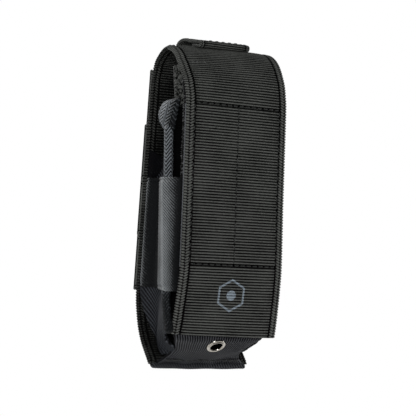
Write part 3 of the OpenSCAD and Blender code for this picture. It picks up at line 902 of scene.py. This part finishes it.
plan = smooth_line(np.hstack([ELASTIC_HEAD, ELASTIC_FOOT]), 0.41)[0]
spread = distances(plan[:, :2])
drop = np.linspace(0, ELASTIC_HEIGHT, 176)[:, None]
share = (drop / ELASTIC_HEIGHT)[..., None]
plane = plan[:, :2] * (1 - share) + plan[:, 2:] * share
face = np.concatenate([plane, (ELASTIC_TOP - ELASTIC_RISE * plan[:, 1] - drop)[..., None]], -1)
out = surface_out(face)
twill = ripple((spread * TWILL_SLANT[0] - drop * TWILL_SLANT[1]) / TWILL)
painted_light = np.interp(spread, *np.array(ELASTIC_PAINTED_LIGHT).T)
turn_over = np.minimum(drop, ELASTIC_HEIGHT - drop)
rolled = HEM_GROOVE * np.exp(-((turn_over - HEM_AT) / 0.6) ** 2)
full = np.tile(np.maximum(round_edge(turn_over, ELASTIC_THICK / 2), EDGE), len(plan))
for side, sign in SIDES:
    pocket = side_cloth(f"elastic_band_{side}", sign, face, out, ELASTIC_THICK,
                        TWILL_DEPTH * (twill - 1) - rolled, full, woven_elastic, (0.4 + 0.6 * twill) * painted_light)
    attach(pocket, "pouch")
    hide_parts(f"elastic_pocket_{side}")

# ---------------------------------------------------------------------------------------------
# Floor panel: finely ribbed grosgrain that closes the bottom. It slopes back from the foot of the
# front panel to the hem, drawn in at its waist, with a drain eyelet in its middle.
# ---------------------------------------------------------------------------------------------
FLOOR_LINE = [(-42.2, -74.3), (-41.7, -77.5), (-41.6, -80), (-41.0, -82.6), (-38.3, -84.94), (-35.1, -87.8),
              (-29.4, -91.4), (-24.4, -94.9)]
FLOOR_THICK, FLOOR_WIDTH = 1.6, 48.0
# The seam above the hem: how far up the cloth, and how deep it presses in.
FLOOR_SEAM, FLOOR_PRESS = 3.2, 0.3
EYELET_PLACE = (0, -38.3, -84.94)
# The ribs are drawn about twice as coarse as real grosgrain's.
GROSGRAIN, GROSGRAIN_DEPTH = 1.3, 0.25
HOLE = 3.3

# Grosgrain: fine ribs of filament nylon, cool black with a soft shine along them.
grosgrain = cloth_material("black_grosgrain", "#020203", "#2f3033", 0.4, 0.6, 0.0, 0.03)

line, along = smooth_line(side_view(FLOOR_LINE), 0.4)
half = np.interp(line[:, 2], *np.array(FLOOR_HALF).T)
share = np.linspace(-1, 1, 270)
x = half[:, None] * share
pucker = 0.5 * np.sin(x / 3.1 + 0.6) * np.sin(x / 7.3) * step_up(along, 14, along[-1])[:, None]
curl = 2.0 * (share ** 6) * np.sin(np.pi * np.clip((along - 4) / (along[-1] - 4), 0, 1))[:, None]
normal = np.cross(np.array([1.0, 0, 0]), unit(np.gradient(line[::-1], axis=0)))
face = line[::-1, None] + normal[:, None] * (pucker - curl)[::-1, :, None]
face[..., 0] += x[::-1]
out = np.broadcast_to(normal[:, None], face.shape)
rib = np.tile(ripple(FLOOR_WIDTH / 2 * share / GROSGRAIN), (len(line), 1))
press = FLOOR_PRESS * np.exp(-((along[::-1] - along[-1] + FLOOR_SEAM) / 0.5) ** 2)[:, None]
full = np.maximum(round_edge((1 - np.abs(share)) * half[::-1, None], 0.8), EDGE)
hole = np.linalg.norm(face - np.array(EYELET_PLACE), axis=-1) < HOLE
relief = GROSGRAIN_DEPTH * (rib - 1)
floor = woven("floor_grosgrain", face, out, FLOOR_THICK, [relief - press, relief], full, grosgrain,
              [rib * (1 - press), rib], hole=hole)
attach(floor, "pouch")
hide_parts("floor_panel")

# ---------------------------------------------------------------------------------------------
# Bottom hem: back panel, gussets and floor meet in one seam, bound with a rolled strip of the
# grosgrain that twists a little where it was turned and stitched.
# ---------------------------------------------------------------------------------------------
HEM_HALF = 24.4
HEM_MIDDLE = (-22.9, -95.8)
HEM_RAYS = (2.3, 1.35)
HEM_SEAM, HEM_STITCHES = 17.6, 12

hem_x = np.arange(-HEM_HALF, HEM_HALF + 0.01, 0.22)
wave = 0.35 * np.sin(hem_x / 6.5 + 0.8) + 0.2 * np.sin(hem_x / 2.7)
path = np.column_stack([hem_x, HEM_MIDDLE[0] + wave * 0.7, HEM_MIDDLE[1] + 0.3 * wave])
twist = 0.45 + 0.35 * np.sin(hem_x / 11.0 + 1.2)
size = round_edge(HEM_HALF - np.abs(hem_x), 1.2)[:, None]
one = np.column_stack([0 * hem_x, np.cos(twist), np.sin(twist)]) * HEM_RAYS[0] * size
two = np.column_stack([0 * hem_x, -np.sin(twist), np.cos(twist)]) * HEM_RAYS[1] * size
angle = np.linspace(0, 2 * np.pi, 48, endpoint=False)
rib = ripple((hem_x[:, None] + 0.8 * np.sin(angle)) / GROSGRAIN)
hem = tube("hem_roll", path, one, two, grosgrain, 0.16 * (rib - 1), weave=0.2 + 0.8 * rib)
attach(hem, "pouch")
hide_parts("bottom_hem")
line_up, up_along = smooth_line(side_view(FLOOR_LINE)[::-1], 0.4)
way = np.cross((1.0, 0, 0), unit(line_up[9] - line_up[7]))
base = np.tile(spots(FLOOR_SEAM, up_along, line_up) + way * SEAM_RISE, (HEM_STITCHES, 1))
base[:, 0] += np.linspace(-HEM_SEAM, HEM_SEAM, HEM_STITCHES)
stitch = np.array([STITCH_LENGTH / 2, 0, 0])
hem_stitches = threads("hem_stitching", base - stitch, base + stitch, np.broadcast_to(way, base.shape),
                       sewing_thread)
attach(hem_stitches, "pouch")

# ---------------------------------------------------------------------------------------------
# Drain eyelet: a nickel plated brass eyelet, pressed through the middle of the grosgrain and rolled
# over it outside. The washer inside keeps its own shape and takes the same plate.
# ---------------------------------------------------------------------------------------------
EYELET_AXIS = (0, -0.66654, -0.74547)
EYELET_RING = [(2.75, -2.2), (2.72, -0.4), (2.8, 0.3), (3.02, 0.72), (3.3, 0.8), (3.55, 0.45),
               (3.8, 0.38), (4.05, 0.5), (4.3, 0.35), (4.45, -0.05), (4.2, -0.1), (3.4, 0), (3.05, -0.3),
               (3, -1), (3, -2.2)]
ring = smooth_line(EYELET_RING, 0.14)[0]
eyelet = turned("eyelet_nickel", ring, EYELET_PLACE, EYELET_AXIS, nickel_plate, closed=True)
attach(eyelet, "pouch")
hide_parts("drain_eyelet")
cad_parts["drain_washer"].data.materials.clear()
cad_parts["drain_washer"].data.materials.append(nickel_plate)

# ---------------------------------------------------------------------------------------------
# Flap front: the wide webbing runs on over the top of the arch and down the front to its cut foot.
# It carries the hook tape inside, sewn on with a rectangle of stitches and a line up its middle.
# ---------------------------------------------------------------------------------------------
ARCH = [(-18.7, 48.5), (-19.8, 48.6), (-25.2, 48.1), (-30.6, 45.8), (-35.2, 41.9), (-38.6, 37.2),
        (-40.3, 33.4), (-41, 30)]
FLAP = [(-41.9, 23.4), (-43.8, 0), (-45.7, -24), (-47.2, -47), (-47.1, -56), (-46.3, -66), (-45.4, -73),
        (-44.1, -80.3)]
SEAM_TOP, SEAM_FOOT = 23.0, -48.0
SEAM_LEFT, SEAM_RIGHT, SEAM_MIDDLE = -21.7, 21.7, 0
FLAP_SHIFT = 0.9
flap_line = smooth_line(side_view(ARCH + FLAP)[::-1], RIB / RIB_STEPS)


def flap_bow(along, across):
    """The foot of the flap curls back at its left corner and lifts a little at its right."""
    top = flap_line[1][-1]
    left = np.interp(along, [0, 13, 22, 32, top - 36, top - 24, top - 15, top - 7, top],
                     [-1.5, -1.1, -0.4, 0, 0, -1.9, -2.6, -1.2, 0.4])
    right = np.interp(along, [0, 13, 22, 60, top - 30, top - 16, top], [2.2, 1.5, 1.2, 0.2, 0.4, 1.0, 1.1])
    edge = 0.9 * np.abs(2 * across / WEB_WIDTH) ** 4 * step_up(top - along, 4, 30)
    return tilted(across, left, right) - edge + crown(across) * step_up(along, top - 20, top - 4)


def flap_shift(along, across):
    """The flap hangs a little to the right of the arch."""
    return across + FLAP_SHIFT * (1 - step_up(along, flap_line[1][-1] - 40, flap_line[1][-1] - 18))


def at_height(z):
    """How far up the flap from its foot a height is."""
    return float(np.interp(z, flap_line[0][:, 2], flap_line[1]))


seam_top, seam_foot = at_height(SEAM_TOP), at_height(SEAM_FOOT)


def flap_weave(along, across, outer=1):
    """The webbing, pressed in along its seams."""
    height = wide_weave(along, across, outer)
    rows = sum(np.exp(-((along - at) / 0.55) ** 2) for at in (seam_top, seam_foot))
    rows *= step_up(across, SEAM_LEFT - 0.6, SEAM_LEFT) * (1 - step_up(across, SEAM_RIGHT, SEAM_RIGHT + 0.6))
    column = np.exp(-((across - SEAM_MIDDLE) / 0.3) ** 2)
    column *= step_up(along, seam_foot - 1, seam_foot) * (1 - step_up(along, seam_top, seam_top + 1))
    return height - (outer > 0) * (0.35 * rows + 0.25 * column)


beside_seam = SEAM_MIDDLE + np.array([-0.9, -0.5, -0.25, 0, 0.25, 0.5, 0.9])
flap_columns = weave_columns(WEB_WIDTH, WEB_SELVAGE, 14, beside_seam)
flap_webbing, on_flap = ribbon("flap_webbing", flap_line, (1, 0, 0), WEB_WIDTH, WEB_THICK, flap_weave,
                               black_webbing, flap_columns, bow=flap_bow, shape=flap_shift)
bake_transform(flap_webbing)
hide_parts("flap_panel")
middle_seam = ((seam_foot, SEAM_MIDDLE), (seam_top, SEAM_MIDDLE))
sewn("flap_stitching", on_flap, rectangle(seam_foot, seam_top, SEAM_LEFT, SEAM_RIGHT) + [middle_seam],
     "flap")

# ---------------------------------------------------------------------------------------------
# Hook tape: the full width of the flap inside, a woven base with rows of small moulded hooks that
# lean to one side and the other in turn.
# ---------------------------------------------------------------------------------------------
HOOK_WIDTH, HOOK_BASE = 50.0, 0.6
HOOK_TOP, HOOK_FOOT = 22.6, -49.6
# The hooks are drawn about a third wider apart than on real tape.
HOOK_PITCH = 1.25
HOOK_TALL, HOOK_BEND, HOOK_WIRE = 0.85, 0.28, 0.16

# Hook tape: stiff monofilament on a tight weave, slightly translucent black with sharp glints.
hook_nylon = cloth_material("hook_tape_nylon", "#0d0d0e", "#45474a", 0.3, 0.45, 0.0)

flap_out = np.cross((1.0, 0, 0), unit(np.gradient(flap_line[0], axis=0)))
inside_line = flap_line[0] - flap_out * (WEB_THICK + HOOK_BASE)
foot_at, top_at = at_height(HOOK_FOOT), at_height(HOOK_TOP)
keep = (flap_line[1] > foot_at) & (flap_line[1] < top_at)
tape_points = inside_line[keep][::-1]
tape_line = (tape_points, distances(tape_points))


def hook_weave(along, across, outer=1):
    """A tight plain weave under the hooks."""
    return 0.12 * (np.abs(np.sin(np.pi * along / 0.8)) * np.abs(np.sin(np.pi * across / 1.6)) - 1)


def hook_bow(along, across):
    """The tape bows with the flap it is sewn to."""
    return -flap_bow(top_at - along, across)


hook_tape, on_hooks = ribbon("hook_tape", tape_line, (1, 0, 0), HOOK_WIDTH, HOOK_BASE, hook_weave,
                             hook_nylon, np.linspace(-HOOK_WIDTH / 2, HOOK_WIDTH / 2, 90), bow=hook_bow,
                             shape=flap_shift)
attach(hook_tape, "flap")
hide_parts("hook_patch")
hook_rows = np.arange(1, tape_line[1][-1] - 1, HOOK_PITCH)
hook_columns = np.arange(-HOOK_WIDTH / 2 + 0.7, HOOK_WIDTH / 2, HOOK_PITCH)
s, x = np.meshgrid(hook_rows, hook_columns, indexing="ij")
x = x + np.where(np.arange(len(s)) % 2, 0.3, -0.3)[:, None]
foot_place, way = on_hooks(s.ravel(), x.ravel())
turn = np.radians([0, 70, 140, 210])
hook_path = [(0.0, 0.0)]
hook_path += [(HOOK_BEND * (1 - np.cos(a)), HOOK_TALL - HOOK_BEND * (1 - np.sin(a))) for a in turn]
hook_side = np.where((np.arange(s.size) % 2)[:, None], 1.0, -1.0) * np.array([1.0, 0, 0])
rings = np.stack([foot_place + hook_side * a + way * b for a, b in hook_path], 1)
lengthwise = np.cross(way, (1.0, 0, 0))
corner = np.stack([hook_side + way * 0.5, lengthwise, -hook_side - way * 0.5, -lengthwise], 1) * HOOK_WIRE
points = rings[:, :, None] + corner[:, None]
hooks = bundle("hooks", points, hook_nylon, np.full(points.shape[:3], SMOOTH))
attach(hooks, "flap")

# ---------------------------------------------------------------------------------------------
# Printed mark: a plain nut outline round a disc, screen printed near the foot of the flap in pale ink
# that follows the ribs. It stands for no maker.
# ---------------------------------------------------------------------------------------------
MARK_PLACE = (0.1, -61.4)
MARK_RADIUS, MARK_LINE, MARK_DISC, MARK_CENTRE = 7.5, 1.0, 2.3, 0.03
INK_RISE, INK_SINK = 0.07, 0.3


def ink_material():
    """Screen print ink: pale grey blue and matt, thin where the weave dips and the yarn soaked it up."""
    material, tree = new_material("screen_print_ink")
    weave = add(tree, "ShaderNodeAttribute", attribute_name="weave")
    level = plus(tree, noise(tree, 0.5, 2.0), 0.9, weave.outputs["Fac"])
    tone = add(tree, "ShaderNodeMapRange", {"Value": level, "From Min": 0.45, "From Max": 1.1})
    colour = shade(tree, tone.outputs[0], "#20262b", "#565f67")
    ink = add(tree, "ShaderNodeBsdfPrincipled", {"Base Color": colour, "Roughness": 0.7})
    add(tree, "ShaderNodeOutputMaterial", {"Surface": ink.outputs[0]})
    return material


screen_ink = ink_material()
angle = np.linspace(0, 2 * np.pi, 300, endpoint=False)
hexagon = np.cos(np.pi / 6) / np.cos((angle % (np.pi / 3)) - np.pi / 6)


def printed(name, inner, outer):
    """A closed skin of ink between two outlines round the middle of the mark."""
    depth = np.repeat([INK_RISE, -INK_SINK], 8)
    share = np.concatenate([np.linspace(0, 1, 8), np.linspace(1, 0, 8)])
    radius = inner + (outer - inner) * share[:, None]
    across = MARK_PLACE[0] + radius * np.sin(angle)
    along = at_height(MARK_PLACE[1]) + radius * np.cos(angle)
    points, _ = on_flap(along, across, depth[:, None])
    weave = 1 + flap_weave(along, across) / RIB_DEPTH
    index = np.arange(weave.size).reshape(weave.shape)
    index = np.concatenate([index, index[:, :1]], axis=1)
    index = np.concatenate([index, index[:1]])
    piece = make_mesh(name, points.reshape(-1, 3), [grid_quads(index)], screen_ink, weave)
    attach(piece, "flap")
    return piece


nut = printed("printed_nut_outline", (MARK_RADIUS - MARK_LINE) * hexagon, MARK_RADIUS * hexagon)
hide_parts("printed_mark")
printed("printed_disc", MARK_CENTRE, MARK_DISC)
